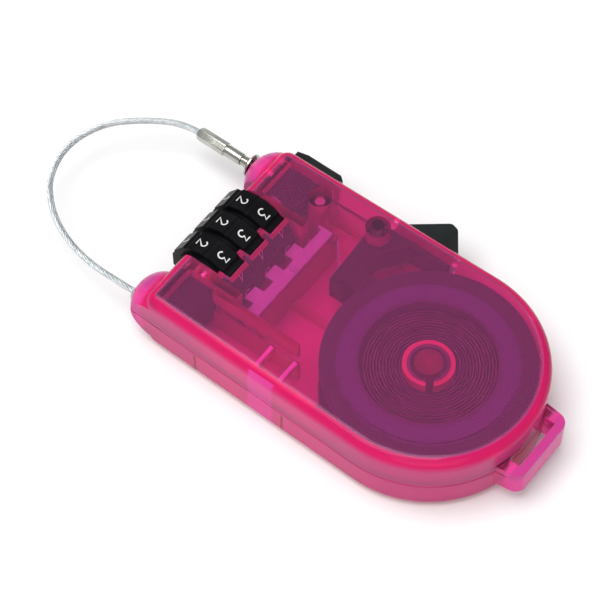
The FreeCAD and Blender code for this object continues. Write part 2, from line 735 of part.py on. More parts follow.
def spiral_spring():
    """A flat strip wound in half turns, each on a slightly larger radius."""
    turns, strip = 12, 0.22
    inner = SIZES["arbor_radius"] + 0.35
    outer = value("well_radius") - 0.25
    step = (outer - inner - strip) / (2 * turns)

    def spiral(offset):
        """The line of one face of the strip, and its last point."""
        arcs, radius, centre, side = [], inner + offset, 0.0, 1
        for _ in range(2 * turns):
            start = Vector(centre + side * radius, 0, 0)
            crown = Vector(centre, side * radius, 0)
            end = Vector(centre - side * radius, 0, 0)
            arcs.append(Part.Arc(start, crown, end).toShape())
            radius += step
            centre += side * step
            side = -side
        return arcs, arcs[0].firstVertex().Point, arcs[-1].lastVertex().Point

    inside, in_start, in_end = spiral(0.0)
    outside, out_start, out_end = spiral(strip)
    ends = [Part.LineSegment(in_start, out_start).toShape(),
            Part.LineSegment(in_end, out_end).toShape()]
    outline = Part.Wire(Part.__sortEdges__(inside + outside + ends))
    low = value("spool_low + flange_thick + 0.15")
    high = value("spool_high - flange_thick")
    face = Part.Face(outline)
    solid = face.extrude(Vector(0, 0, high - low))
    solid.translate(Vector(0, 0, low))
    return solid


# ---------------------------------------------------------------- brake lever
def lever():
    """The thumb lever, its pivot pin, its brake pad and its spring."""
    tall = ("lever_low", "lever_high")
    body = doc.addObject("PartDesign::Body", "lever_body")
    arm_end = "pivot_x - 12.6"
    outline = polygon(body, "lever_outline", [
        (arm_end, "pivot_y - 2.4"),
        ("pivot_x - 3.0", "pivot_y - 2.3"),
        ("pivot_x + 1.6", "pivot_y - 6.0"),
        ("pivot_x + 1.7", "pivot_y - 13.0"),
        ("pivot_x + 3.0", "pivot_y - 14.0"),
        ("pivot_x + 6.4", "pivot_y - 13.4"),
        ("thumb_reach - 0.4", "pivot_y - 10.5"),
        ("thumb_reach", "pivot_y - 8.9"),
        ("pivot_x + 5.3", "pivot_y - 2.0"),
        ("pivot_x + 2.2", "pivot_y - 0.8"),
        ("pivot_x + 1.2", "pivot_y + 2.1"),
        (arm_end, "pivot_y + 1.4"),
    ])
    pad(body, "lever_pad", outline, "lever_high - lever_low")
    place(body, z="lever_low")
    reach = SIZES["thumb_reach"]
    flank_now = value("flank_half")
    rounded(body, "lever_tip", "1.1",
            lambda e: upright(e) and e.CenterOfMass.x > reach - 1)
    rounded(body, "lever_inner_corner", "0.5",
            lambda e: upright(e) and e.CenterOfMass.y < SIZES["pivot_y"] - 12.8)
    rounded(body, "lever_edges", "0.4",
            lambda e: not upright(e) and e.CenterOfMass.x > flank_now + 1.5)
    hub = rod("lever_hub", "boss_radius", tall, "z", ("pivot_x", "pivot_y"))
    bore = rod("lever_bore", "pin_radius + run_gap / 2", ("0", "body_height"), "z",
               ("pivot_x", "pivot_y"))
    seat = block("pad_seat", (arm_end, f"{arm_end} + 4.0"),
                 ("pivot_y - 3.5", "pivot_y - 1.6"), (tall[0], tall[1]))
    node("brake_lever", cut("lever_cut", fuse("lever_whole", body, hub), bore, seat))
    pad_block = block("pad_block", (arm_end, f"{arm_end} + 4.0"),
                      ("flange_radius - 2.0", "pivot_y - 1.6"),
                      ("lever_low", "spool_high"))
    rim = rod("pad_rim", "flange_radius + part_gap", ("0", "body_height"))
    node("brake_pad", cut("pad_cut", pad_block, rim))
    node("lever_pivot_pin", rod("pivot_pin", "pin_radius", ("0.8", "body_height - 0.8"), "z",
                                ("pivot_x", "pivot_y")))
    node("lever_spring", prism("leaf_spring", [
        (f"{arm_end} + 1.0", "pivot_y + 1.9"),
        (f"{arm_end} + 4.0", "pivot_y + 2.0"),
        (f"{arm_end} + 8.6", "pivot_y + 5.8"),
        (f"{arm_end} + 8.4", "pivot_y + 6.05"),
        (f"{arm_end} + 3.9", "pivot_y + 2.3"),
        (f"{arm_end} + 1.0", "pivot_y + 2.2"),
    ], ("lever_low + 1", "8.3")))


# ---------------------------------------------------------------- detent spring and screw
def detent_spring():
    """The bright spring plate whose three fingers rest behind the dials."""
    level = ("8.6", "9.0")
    low_y = "pivot_y + 7.1"
    web_y = "pivot_y + 9.4"
    parts = [block("detent_web", ("-9.5", "13.2"), (low_y, web_y), level)]
    for sign, word, x in ((-1, "left", ("-9.5", "-8.9")), (1, "right", ("12.6", "13.2"))):
        parts.append(block(f"detent_arm_{word}", x, (low_y, "pivot_y + 10.2"), ("4.6", "9.0")))
    for i in DIALS:
        span = (f"{i} * dial_pitch - 1.5", f"{i} * dial_pitch + 1.5")
        parts.append(block(f"detent_finger_{i + 2}", span,
                           (f"{web_y} - 0.1", "dial_y - dial_sweep - soft_gap"), level))
    parts.append(rod("detent_pip", "0.8", ("8.9", "9.5"), "z", ("2.9", "pivot_y + 8.2")))
    node("detent_spring", fuse("detent_whole", *parts))


def screw():
    head = rod("screw_head", "head_radius", ("0.15", "1.15"), "z", ("screw_x", "screw_y"))
    shank = rod("screw_shank", "screw_radius - 0.02", ("1.0", "11.0"), "z",
                ("screw_x", "screw_y"))
    slot = block("screw_slot", ("screw_x - 1.4", "screw_x + 1.4"),
                 ("screw_y - 0.25", "screw_y + 0.25"), ("0", "0.6"))
    cross = block("screw_cross", ("screw_x - 0.25", "screw_x + 0.25"),
                  ("screw_y - 1.4", "screw_y + 1.4"), ("0", "0.6"))
    node("case_screw", cut("screw_cut", fuse("screw_whole", head, shank), slot, cross))


# ---------------------------------------------------------------- build and write
shells()
for number, offset in enumerate(DIALS, start=1):
    dial(number, offset)
release()
left_prong()
right_prong()
cable()
spool()
lever()
detent_spring()
screw()
doc.recompute()

for thing in doc.Objects:
    if "Invalid" in thing.State or "Error" in thing.State:
        raise RuntimeError(f"{thing.Label} failed: {thing.State}")
for name, thing in nodes.items():
    if thing.Shape.isNull() or not thing.Shape.isValid():
        raise RuntimeError(f"{name} has no valid shape")
    if not thing.Shape.Solids:
        raise RuntimeError(f"{name} holds no solid")

os.makedirs("parts", exist_ok=True)
for name, thing in nodes.items():
    thing.Shape.exportStep(f"parts/{name}.step")
    box = thing.Shape.BoundBox
    print(f"{name:18s} solids {len(thing.Shape.Solids)}  volume {thing.Shape.Volume:9.2f}  "
          f"x {box.XMin:.2f}..{box.XMax:.2f}  y {box.YMin:.2f}..{box.YMax:.2f}  "
          f"z {box.ZMin:.2f}..{box.ZMax:.2f}")
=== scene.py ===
import math

import bmesh
import bpy
from mathutils import Matrix, Vector


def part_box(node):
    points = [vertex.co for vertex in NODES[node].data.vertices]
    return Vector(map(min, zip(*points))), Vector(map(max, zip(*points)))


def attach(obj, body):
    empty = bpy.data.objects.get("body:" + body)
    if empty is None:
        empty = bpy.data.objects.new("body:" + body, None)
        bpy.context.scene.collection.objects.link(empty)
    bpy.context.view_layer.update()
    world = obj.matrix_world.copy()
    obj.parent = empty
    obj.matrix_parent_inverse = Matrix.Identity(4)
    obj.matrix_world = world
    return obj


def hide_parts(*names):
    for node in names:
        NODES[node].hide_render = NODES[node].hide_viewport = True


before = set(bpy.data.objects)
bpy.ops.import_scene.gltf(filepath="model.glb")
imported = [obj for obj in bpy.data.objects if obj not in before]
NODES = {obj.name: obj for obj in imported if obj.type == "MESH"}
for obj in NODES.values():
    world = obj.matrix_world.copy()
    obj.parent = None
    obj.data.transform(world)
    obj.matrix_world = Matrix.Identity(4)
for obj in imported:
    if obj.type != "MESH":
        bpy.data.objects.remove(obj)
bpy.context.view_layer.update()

MM = 0.001
DIALS = (1, 2, 3)

# ------------------------------------------------------------------ camera
CAMERA_TARGET = Vector((-0.32, 28.0, 6.5)) * MM
CAMERA_DISTANCE = 451.4 * MM
CAMERA_AZIMUTH = math.radians(-52.48)
CAMERA_ELEVATION = math.radians(58.04)
CAMERA_LENS = 150.8


def make_camera():
    """A long lens, looking down on the front face from the left of the round end."""
    data = bpy.data.cameras.new("camera")
    data.lens = CAMERA_LENS
    data.sensor_width = 36
    data.clip_start = 0.01
    data.clip_end = 5
    camera = bpy.data.objects.new("camera", data)
    back = Vector((math.sin(CAMERA_AZIMUTH) * math.cos(CAMERA_ELEVATION),
                   -math.cos(CAMERA_AZIMUTH) * math.cos(CAMERA_ELEVATION),
                   math.sin(CAMERA_ELEVATION)))
    camera.location = CAMERA_TARGET + back * CAMERA_DISTANCE
    camera.rotation_mode = "QUATERNION"
    camera.rotation_quaternion = (-back).to_track_quat("-Z", "Y")
    bpy.context.scene.collection.objects.link(camera)
    bpy.context.scene.camera = camera


# ------------------------------------------------------------------ materials
def shader(name, **sockets):
    """A new material, its tree and its Principled shader with some sockets set."""
    material = bpy.data.materials.new(name)
    material.use_nodes = True
    tree = material.node_tree
    principled = tree.nodes["Principled BSDF"]
    for socket, amount in sockets.items():
        principled.inputs[socket.replace("_", " ")].default_value = amount
    return material, tree, principled


def object_coordinates(tree, stretch=(1, 1, 1)):
    """Positions in metres, made longer or shorter along each axis."""
    where = tree.nodes.new("ShaderNodeTexCoord")
    mapping = tree.nodes.new("ShaderNodeMapping")
    mapping.inputs["Scale"].default_value = stretch
    tree.links.new(where.outputs["Object"], mapping.inputs["Vector"])
    return mapping.outputs["Vector"]


def noise(tree, size, detail, stretch=(1, 1, 1)):
    """Noise whose features are about size across, from 0 to 1."""
    texture = tree.nodes.new("ShaderNodeTexNoise")
    texture.inputs["Scale"].default_value = 1 / size
    texture.inputs["Detail"].default_value = detail
    tree.links.new(object_coordinates(tree, stretch), texture.inputs["Vector"])
    return texture.outputs["Fac"]


def spread(tree, fac, low, high, source_low=0.3, source_high=0.7):
    """Map a 0 to 1 value to the range low to high."""
    node = tree.nodes.new("ShaderNodeMapRange")
    node.inputs["From Min"].default_value = source_low
    node.inputs["From Max"].default_value = source_high
    node.inputs["To Min"].default_value = low
    node.inputs["To Max"].default_value = high
    tree.links.new(fac, node.inputs["Value"])
    return node.outputs["Result"]


def tint(tree, fac, dark, light):
    """A colour between two, by a 0 to 1 value."""
    ramp = tree.nodes.new("ShaderNodeValToRGB")
    ramp.color_ramp.elements[0].position = 0.3
    ramp.color_ramp.elements[0].color = (*dark, 1)
    ramp.color_ramp.elements[1].position = 0.7
    ramp.color_ramp.elements[1].color = (*light, 1)
    tree.links.new(fac, ramp.inputs["Fac"])
    return ramp.outputs["Color"]


def bump(tree, principled, height, distance, strength=0.5):
    """Relief of a given depth on the shader's surface."""
    node = tree.nodes.new("ShaderNodeBump")
    node.inputs["Distance"].default_value = distance
    node.inputs["Strength"].default_value = strength
    tree.links.new(height, node.inputs["Height"])
    tree.links.new(node.outputs["Normal"], principled.inputs["Normal"])


def surface(name, dark, light, rough, grain, relief, patch=4 * MM, stretch=(1, 1, 1), **sockets):
    """A solid material: patchy colour and roughness, and a fine relief of a given grain."""
    material, tree, principled = shader(name, **sockets)
    patches = noise(tree, patch, 4.0)
    fine = noise(tree, grain, 2.0, stretch)
    tree.links.new(tint(tree, patches, dark, light), principled.inputs["Base Color"])
    tree.links.new(spread(tree, fine, *rough), principled.inputs["Roughness"])
    bump(tree, principled, fine, relief)
    return material


def stops(tree, fac, *marks):
    """A colour read from marks of (position, red, green, blue)."""
    ramp = tree.nodes.new("ShaderNodeValToRGB")
    elements = ramp.color_ramp.elements
    while len(elements) < len(marks):
        elements.new(0.5)
    for element, (position, *colour) in zip(elements, marks):
        element.position = position
        element.color = (*colour, 1)
    tree.links.new(fac, ramp.inputs["Fac"])
    return ramp.outputs["Color"]


def calculate(tree, operation, *values):
    """A math node's result from numbers and other nodes' outputs."""
    node = tree.nodes.new("ShaderNodeMath")
    node.operation = operation
    for socket, value in zip(node.inputs, values):
        if isinstance(value, (int, float)):
            socket.default_value = value
        else:
            tree.links.new(value, socket)
    return node.outputs["Value"]


def blend(tree, fac, first, second):
    """The first colour, turned into the second by a 0 to 1 value."""
    node = tree.nodes.new("ShaderNodeMix")
    node.data_type = "RGBA"
    tree.links.new(fac, node.inputs[0])
    tree.links.new(first, node.inputs[6])
    node.inputs[7].default_value = (*second, 1)
    return node.outputs[2]


NOSE_START = 47.6 * MM
TAB_END = -21.4 * MM
END_BLEND = 1.0 * MM
LEFT_FLANK = -20.5 * MM
CLIP_Y = 20.9 * MM
CLIP_BAND = 2.7 * MM
RIB_MARKS = (35.7 * MM, 16.0 * MM)
RIB_HALF_WIDTH = 0.28 * MM
RIB_TOP = 6.6 * MM
FOOT_SHADE_WIDTH = 0.35 * MM
UPRIGHT_TILT = 0.6
RIB_AND_FOOT_SHADE_STRENGTH = 0.75


def stripe(tree, coordinate, centre, half_width):
    """1 within a stripe across a coordinate and 0 outside it, with soft sides."""
    away = calculate(tree, "ABSOLUTE", calculate(tree, "SUBTRACT", coordinate, centre))
    return spread(tree, away, 1.0, 0.0, half_width * 0.9, half_width * 1.1)


def pink_parts(tree, place):
    """1 on the shell's two noses, its tab and the flank beside its snap clip, and 0 elsewhere."""
    along = place.outputs["Y"]
    nose = spread(tree, along, 0.0, 1.0, NOSE_START, NOSE_START + END_BLEND)
    tab = spread(tree, along, 1.0, 0.0, TAB_END - END_BLEND, TAB_END)
    left = calculate(tree, "LESS_THAN", place.outputs["X"], LEFT_FLANK)
    clip = calculate(tree, "MULTIPLY", left, stripe(tree, along, CLIP_Y, CLIP_BAND))
    return calculate(tree, "MAXIMUM", calculate(tree, "MAXIMUM", nose, tab), clip)


def rib_marks_and_foot_shade(tree, place, tilt):
    """How dark the rib marks low on the left flank are, and the painted contact shade along the
    foot where it meets the floor, up to 1.
    """
    left = calculate(tree, "LESS_THAN", place.outputs["X"], LEFT_FLANK)
    low_down = calculate(tree, "LESS_THAN", place.outputs["Z"], RIB_TOP)
    ribs = calculate(tree, "MAXIMUM", *[
        stripe(tree, place.outputs["Y"], y, RIB_HALF_WIDTH) for y in RIB_MARKS])
    ribs = calculate(tree, "MULTIPLY", calculate(tree, "MULTIPLY", ribs, low_down), left)
    upright = calculate(tree, "GREATER_THAN", tilt, UPRIGHT_TILT)
    # Painted contact shade: a dark line along the foot where the upright walls meet the floor.
    foot_shade = calculate(tree, "MULTIPLY", stripe(tree, place.outputs["Z"], 0.0, FOOT_SHADE_WIDTH), upright)
    return calculate(tree, "MULTIPLY", calculate(tree, "MAXIMUM", ribs, foot_shade), RIB_AND_FOOT_SHADE_STRENGTH)


def shell_material():
    """Magenta polycarbonate: clear on its flats, with a painted deeper crimson on its sides and
    rounded edges where light runs along the wall, pink at its ends.
    """
    material, tree, principled = shader("shell_polycarbonate", IOR=1.2, Coat_Weight=0.03)
    principled.inputs["Coat Roughness"].default_value = 0.08
    where = tree.nodes.new("ShaderNodeTexCoord")
    facing = tree.nodes.new("ShaderNodeSeparateXYZ")
    tree.links.new(where.outputs["Normal"], facing.inputs["Vector"])
    place = tree.nodes.new("ShaderNodeSeparateXYZ")
    tree.links.new(where.outputs["Object"], place.inputs["Vector"])
    tilt = calculate(tree, "SUBTRACT", 1.0, calculate(tree, "ABSOLUTE", facing.outputs["Z"]))
    # Painted light: the colour deepens to crimson, and the shell grows less clear, as the surface
    # tilts from flat, standing in for light running along the wall.
    colour = stops(tree, tilt, (0.0, 1.0, 0.25, 0.68), (0.05, 0.84, 0.014, 0.16),
                   (0.5, 0.86, 0.022, 0.18), (0.95, 0.95, 0.12, 0.40))
    clear = stops(tree, tilt, (0.0, 0.935, 0.935, 0.935), (0.05, 0.42, 0.42, 0.42),
                  (0.5, 0.48, 0.48, 0.48), (0.95, 0.62, 0.62, 0.62))
    pink = pink_parts(tree, place)
    marks = rib_marks_and_foot_shade(tree, place, tilt)
    shaded_edges_and_pink_ends = blend(tree, pink, colour, (0.98, 0.09, 0.46))
    # Dark red laid over the rib lines, and as painted contact shade along the foot.
    tree.links.new(blend(tree, marks, shaded_edges_and_pink_ends, (0.30, 0.05, 0.06)), principled.inputs["Base Color"])
    tree.links.new(blend(tree, pink, clear, (0.50, 0.50, 0.50)),
                   principled.inputs["Transmission Weight"])
    fine = noise(tree, 0.5 * MM, 2.0)
    patches = noise(tree, 6 * MM, 3.0)
    tree.links.new(spread(tree, patches, 0.10, 0.17), principled.inputs["Roughness"])
    bump(tree, principled, fine, 0.01 * MM, 0.12)
    depth = tree.nodes.new("ShaderNodeVolumeAbsorption")
    depth.inputs["Color"].default_value = (0.985, 0.18, 0.38, 1)
    depth.inputs["Density"].default_value = 60
    output = tree.nodes["Material Output"]
    tree.links.new(depth.outputs["Volume"], output.inputs["Volume"])
    return material


def ringed(name, reach_end, rough, *marks):
    """Satin plastic coloured in rings about the spool's axis; marks run from 0 to reach_end."""
    material, tree, principled = shader(name, Specular_IOR_Level=0.2)
    flat = tree.nodes.new("ShaderNodeVectorMath")
    flat.operation = "MULTIPLY"
    flat.inputs[1].default_value = (1, 1, 0)
    tree.links.new(object_coordinates(tree), flat.inputs[0])
    reach = tree.nodes.new("ShaderNodeVectorMath")
    reach.operation = "LENGTH"
    tree.links.new(flat.outputs["Vector"], reach.inputs[0])
    ring = spread(tree, reach.outputs["Value"], 0.0, 1.0, 0.0, reach_end)
    patches = spread(tree, noise(tree, 2.5 * MM, 4.0), -0.008, 0.008)
    tree.links.new(stops(tree, calculate(tree, "ADD", ring, patches), *marks),
                   principled.inputs["Base Color"])
    fine = noise(tree, 0.25 * MM, 2.0)
    tree.links.new(spread(tree, fine, *rough), principled.inputs["Roughness"])
    bump(tree, principled, fine, 0.008 * MM)
    return material


def coat_material():
    """The clear sleeve drawn over the twisted strands."""
    material, tree, principled = shader("clear_coat", Transmission_Weight=1.0, IOR=1.12)
    principled.inputs["Base Color"].default_value = (0.95, 0.97, 0.98, 1)
    fine = noise(tree, 0.6 * MM, 2.0)
    tree.links.new(spread(tree, fine, 0.05, 0.14), principled.inputs["Roughness"])
    bump(tree, principled, fine, 0.01 * MM, 0.2)
    return material


def make_materials():
    """Every material by its short name."""
    dull = {"Specular_IOR_Level": 0.14}
    return {
        "shell": shell_material(),
        "spool": ringed("spool_plastic", 20 * MM, (0.42, 0.55),
                        (0.60, 0.040, 0.055, 0.070), (0.67, 0.070, 0.095, 0.165),
                        (0.78, 0.070, 0.095, 0.165), (0.83, 0.028, 0.060, 0.050)),
        "arbor": ringed("arbor_plastic", 5 * MM, (0.35, 0.45),
                        (0.0, 0.20, 0.030, 0.030), (0.56, 0.13, 0.022, 0.025),
                        (0.66, 0.10, 0.06, 0.10), (0.76, 0.12, 0.05, 0.09),
                        (0.80, 0.62, 0.06, 0.17), (0.97, 0.62, 0.06, 0.17)),
        "clip": surface("clip_plastic", (0.95, 0.34, 0.80), (0.99, 0.45, 0.90),
                        (0.25, 0.35), 0.4 * MM, 0.006 * MM),
        "coat": coat_material(),
        "black": surface("satin_black", (0.008, 0.010, 0.011), (0.015, 0.018, 0.019),
                         (0.32, 0.44), 0.25 * MM, 0.006 * MM, **dull),
        "dial": surface("dial_black", (0.003, 0.003, 0.004), (0.007, 0.007, 0.008),
                        (0.28, 0.38), 0.2 * MM, 0.01 * MM, Specular_IOR_Level=0.07),
        "sleeve": surface("grey_sleeve", (0.20, 0.20, 0.20), (0.28, 0.28, 0.28),
                          (0.45, 0.55), 0.3 * MM, 0.01 * MM, **dull),
        "steel": surface("spring_steel", (0.46, 0.46, 0.47), (0.60, 0.60, 0.60),
                         (0.22, 0.36), 0.12 * MM, 0.005 * MM, stretch=(1, 6, 1), Metallic=1.0),
        "bright": surface("bright_steel", (0.42, 0.54, 0.54), (0.52, 0.64, 0.64),
                          (0.30, 0.42), 0.15 * MM, 0.004 * MM, stretch=(6, 1, 1), Metallic=0.35),
        "blued": surface("blued_steel", (0.055, 0.050, 0.060), (0.10, 0.09, 0.10),
                         (0.35, 0.5), 0.12 * MM, 0.005 * MM, Metallic=0.6),
        "nickel": surface("nickel_plate", (0.40, 0.40, 0.36), (0.56, 0.56, 0.52),
                          (0.14, 0.26), 0.3 * MM, 0.004 * MM, Metallic=1.0),
        "pin": surface("satin_pin", (0.42, 0.40, 0.40), (0.55, 0.53, 0.53),
                       (0.40, 0.52), 0.2 * MM, 0.005 * MM, Metallic=0.2),
        "strand": surface("twisted_steel", (0.55, 0.57, 0.58), (0.80, 0.82, 0.83),
                          (0.30, 0.42), 0.15 * MM, 0.006 * MM, patch=1 * MM, Metallic=0.7),
        "rubber": surface("pad_rubber", (0.012, 0.012, 0.012), (0.022, 0.021, 0.021),
                          (0.6, 0.8), 0.2 * MM, 0.02 * MM, **dull),
        "print": surface("white_print", (0.62, 0.62, 0.61), (0.74, 0.74, 0.73),
                         (0.42, 0.55), 0.1 * MM, 0.004 * MM),
    }


def paint(thing, material):
    """Give a piece one material."""
    thing.data.materials.clear()
    thing.data.materials.append(material)


# ------------------------------------------------------------------ meshes
def mesh_piece(name, verts, faces, material, body):
    """A smooth piece that rides on a body and carries one material."""
    mesh = bpy.data.meshes.new(name)
    mesh.from_pydata(verts, [], faces)
    mesh.update()
    mesh.shade_smooth()
    piece = bpy.data.objects.new(name, mesh)
    bpy.context.scene.collection.objects.link(piece)
    paint(piece, material)
    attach(piece, body)
    return piece


def frames_along(points):
    """A point, tangent and two normals at each point of a line, without twist."""
    tangents = []
    for i in range(len(points)):
        ahead = points[min(i + 1, len(points) - 1)]
        behind = points[max(i - 1, 0)]
        tangents.append((ahead - behind).normalized())
    normal = tangents[0].orthogonal().normalized()
    result = []
    for point, tangent in zip(points, tangents):
        normal = (normal - tangent * normal.dot(tangent)).normalized()
        result.append((point, tangent, normal, tangent.cross(normal)))
    return result


def tube(points, radius, sides, verts, faces):
    """Add a closed round tube along points to lists of vertices and faces."""
    first = len(verts)
    for point, _, side, up in frames_along(points):
        for k in range(sides):
            turn = 2 * math.pi * k / sides
            verts.append(point + (side * math.cos(turn) + up * math.sin(turn)) * radius)
    for i in range(len(points) - 1):
        for k in range(sides):
            a = first + i * sides + k
            b = first + i * sides + (k + 1) % sides
            faces.append((a, b, b + sides, a + sides))
    faces.append(tuple(reversed(range(first, first + sides))))
    faces.append(tuple(range(len(verts) - sides, len(verts))))


# ------------------------------------------------------------------ cable
CABLE_POINTS = [
    (-17.4, 52.3),
    (-17.6, 57.0),
    (-17.6, 63.0),
    (-16.2, 69.5),
    (-13.0, 75.7),
    (-7.9, 80.8),
    (0.0, 83.0),
    (7.9, 80.6),
    (13.0, 75.2),
    (16.9, 69.0),
    (17.1, 65.2),
]
CABLE_HEIGHT = 7.3 * MM
CABLE_RADIUS = 0.6 * MM
STRANDS = 6
STRAND_RADIUS = 0.192 * MM
STRAND_PITCH = 6.6 * MM
POINT_STEP = 0.3 * MM


def route_curve(name, radius):
    """The cable's own smooth line, with the route's points as its control points."""
    curve = bpy.data.curves.new(name, "CURVE")
    curve.dimensions = "3D"
    curve.resolution_u = 16
    curve.bevel_depth = radius
    curve.bevel_resolution = 3
    curve.use_fill_caps = True
    spline = curve.splines.new("NURBS")
    spline.points.add(len(CABLE_POINTS) - 1)
    for point, (x, y) in zip(spline.points, CABLE_POINTS):
        point.co = (x * MM, y * MM, CABLE_HEIGHT, 1)
    spline.order_u = 3
    spline.use_endpoint_u = True
    piece = bpy.data.objects.new(name, curve)
    bpy.context.scene.collection.objects.link(piece)
    return piece


def route_line():
    """The points of the cable's smooth line."""
    bare = route_curve("route_line", 0)
    mesh = bpy.data.meshes.new_from_object(bare)
    line = [v.co.copy() for v in mesh.vertices]
    bpy.data.objects.remove(bare)
    return line


def evenly(line, step):
    """The same line with its points about step apart."""
    reach = [0.0]
    for a, b in zip(line, line[1:]):
        reach.append(reach[-1] + (b - a).length)
    count = max(2, round(reach[-1] / step))
    points, i = [], 0
    for k in range(count + 1):
        want = reach[-1] * k / count
        while i < len(line) - 2 and reach[i + 1] < want:
            i += 1
        share = (want - reach[i]) / (reach[i + 1] - reach[i])
        points.append(line[i].lerp(line[i + 1], share))
    return points


def twisted(line, verts, faces):
    """A core strand and the strands laid round it."""
    points = evenly(line, POINT_STEP)
    rings = frames_along(points)
    tube(points, STRAND_RADIUS, 6, verts, faces)
    for strand in range(STRANDS):
        wound = []
        for i, (point, _, side, up) in enumerate(rings):
            turn = 2 * math.pi * (strand / STRANDS + i * POINT_STEP / STRAND_PITCH)
            wound.append(point + (side * math.cos(turn) + up * math.sin(turn)) * 2 * STRAND_RADIUS)
        tube(wound, STRAND_RADIUS, 8, verts, faces)


def make_cable(looks):
    """The free loop: a clear sleeve over twisted strands, ending in the ferrule and plug."""
    coat = route_curve("cable_coat", CABLE_RADIUS)
    coat.data.materials.append(looks["coat"])
    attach(coat, "cable")
    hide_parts("cable_loop")
    verts, faces = [], []
    twisted(route_line(), verts, faces)
    strands = mesh_piece("cable_strands", verts, faces, looks["strand"], "cable")
    make_plug(looks)


# ------------------------------------------------------------------ plug and ferrule
PLUG_SIDES = 48
CRIMP_FLATS = 6
ROUND = 9  # an apothem past every radius, which leaves a ring round
PLUG_EDGE = 0.05 * MM


def flat_offset(turn):
    """The angle from the middle of the nearest flat."""
    half = math.pi / CRIMP_FLATS
    return (turn + half) % (2 * half) - half


def turned(name, sections, look):
    """A metal piece along the plug's axis from (station, radius, apothem) rings, in mm."""
    low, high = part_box("cable_plug")
    axis_x, axis_z = (low.x + high.x) / 2, (low.z + high.z) / 2
    verts, faces = [], []
    for station, radius, apothem in sections:
        for k in range(PLUG_SIDES):
            turn = 2 * math.pi * k / PLUG_SIDES
            reach = min(radius, apothem / math.cos(flat_offset(turn))) * MM
            verts.append((axis_x + reach * math.cos(turn), station * MM,
                          axis_z + reach * math.sin(turn)))
    for i in range(len(sections) - 1):
        for k in range(PLUG_SIDES):
            a = i * PLUG_SIDES + k
            b = i * PLUG_SIDES + (k + 1) % PLUG_SIDES
            faces.append((a, a + PLUG_SIDES, b + PLUG_SIDES, b))
    faces.append(tuple(range(PLUG_SIDES)))
    faces.append(tuple(reversed(range(len(verts) - PLUG_SIDES, len(verts)))))
    piece = mesh_piece(name, verts, faces, look, "cable")
    soften(piece, PLUG_EDGE)
    return piece


def soften(piece, width):
    """Round the sharp edges of a piece a little."""
    bevel = piece.modifiers.new("soft_edges", "BEVEL")
    bevel.width = width
    bevel.segments = 2
    bevel.limit_method = "ANGLE"
    bevel.angle_limit = math.radians(28)
    bevel.harden_normals = True


def make_plug(looks):
    """The turned plug and the crimped ferrule that holds the cable's end."""
    low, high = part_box("cable_plug")
    tip, back = low.y / MM, high.y / MM
    plug = turned("plug_pin", [
        (tip, 0.55, ROUND), (tip + 0.2, 0.85, ROUND), (tip + 0.8, 1.36, ROUND),
        (tip + 2.2, 1.38, ROUND), (tip + 2.25, 0.85, ROUND), (tip + 3.3, 0.85, ROUND),
        (tip + 3.5, 1.38, ROUND), (tip + 11.4, 1.38, ROUND), (tip + 11.7, 2.3, ROUND),
        (tip + 12.0, 2.35, ROUND), (tip + 12.2, 1.7, ROUND), (tip + 12.6, 1.1, ROUND),
        (back - 0.4, 1.02, ROUND), (back - 0.35, 0.86, ROUND), (back, 0.86, ROUND),
    ], looks["nickel"])
    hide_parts("cable_plug")
    low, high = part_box("cable_ferrule")
    near, far = low.y / MM, high.y / MM
    ferrule = turned("crimped_ferrule", [
        (near, 0.84, ROUND), (near + 0.02, 1.08, ROUND), (near + 0.15, 1.17, ROUND),
        (near + 3.5, 1.17, ROUND), (near + 3.6, 1.0, ROUND), (near + 3.8, 1.0, ROUND),
        (near + 3.9, 1.38, 1.22), (near + 6.5, 1.38, 1.16),
        (far - 0.9, 1.38, 1.18), (far - 0.25, 1.2, 1.06), (far, 0.78, ROUND),
    ], looks["nickel"])
    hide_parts("cable_ferrule")
    return [plug, ferrule]


# ------------------------------------------------------------------ wound cable
WINDING_LAYERS = 2
WINDING_TURNS = 5
POINTS_A_TURN = 48
DRUM_RADIUS = 13.3 * MM
FLANGE_GAP = 0.1 * MM


def make_winding(looks):
    """The cable wound on the drum, layer over layer."""
    low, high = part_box("cable_winding")
    flange_low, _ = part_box("spool_flange")
    bottom = low.z + CABLE_RADIUS
    top = flange_low.z - CABLE_RADIUS - FLANGE_GAP
    climb = (top - bottom) / WINDING_TURNS
    inner = DRUM_RADIUS + CABLE_RADIUS
    outer = (high.x - low.x) / 2 - CABLE_RADIUS
    verts, faces = [], []
    for layer in range(WINDING_LAYERS):
        radius = inner + (outer - inner) * layer / (WINDING_LAYERS - 1)
        points = []
        for k in range(WINDING_TURNS * POINTS_A_TURN + 1):
            turns = k / POINTS_A_TURN
            angle = 2 * math.pi * turns
            points.append(Vector((radius * math.cos(angle), radius * math.sin(angle),
                                  bottom + climb * turns)))
        tube(points, CABLE_RADIUS, 10, verts, faces)
    wound = mesh_piece("wound_cable", verts, faces, looks["strand"], "spool")
    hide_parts("cable_winding")


# ------------------------------------------------------------------ snap clip
CLIP_HALF_WIDTH = 2.6 * MM
CLIP_WIRE = 0.42 * MM
CLIP_REACH = -14.2 * MM
CLIP_BEND_START = -17.5 * MM
CLIP_BEND_CENTRE = -18.4 * MM
CLIP_BEND_RADIUS = 1.1 * MM
CLIP_BEND_STEPS = 6
CLIP_FOOT = 8.4 * MM
SHELL_WALL = 1.5 * MM


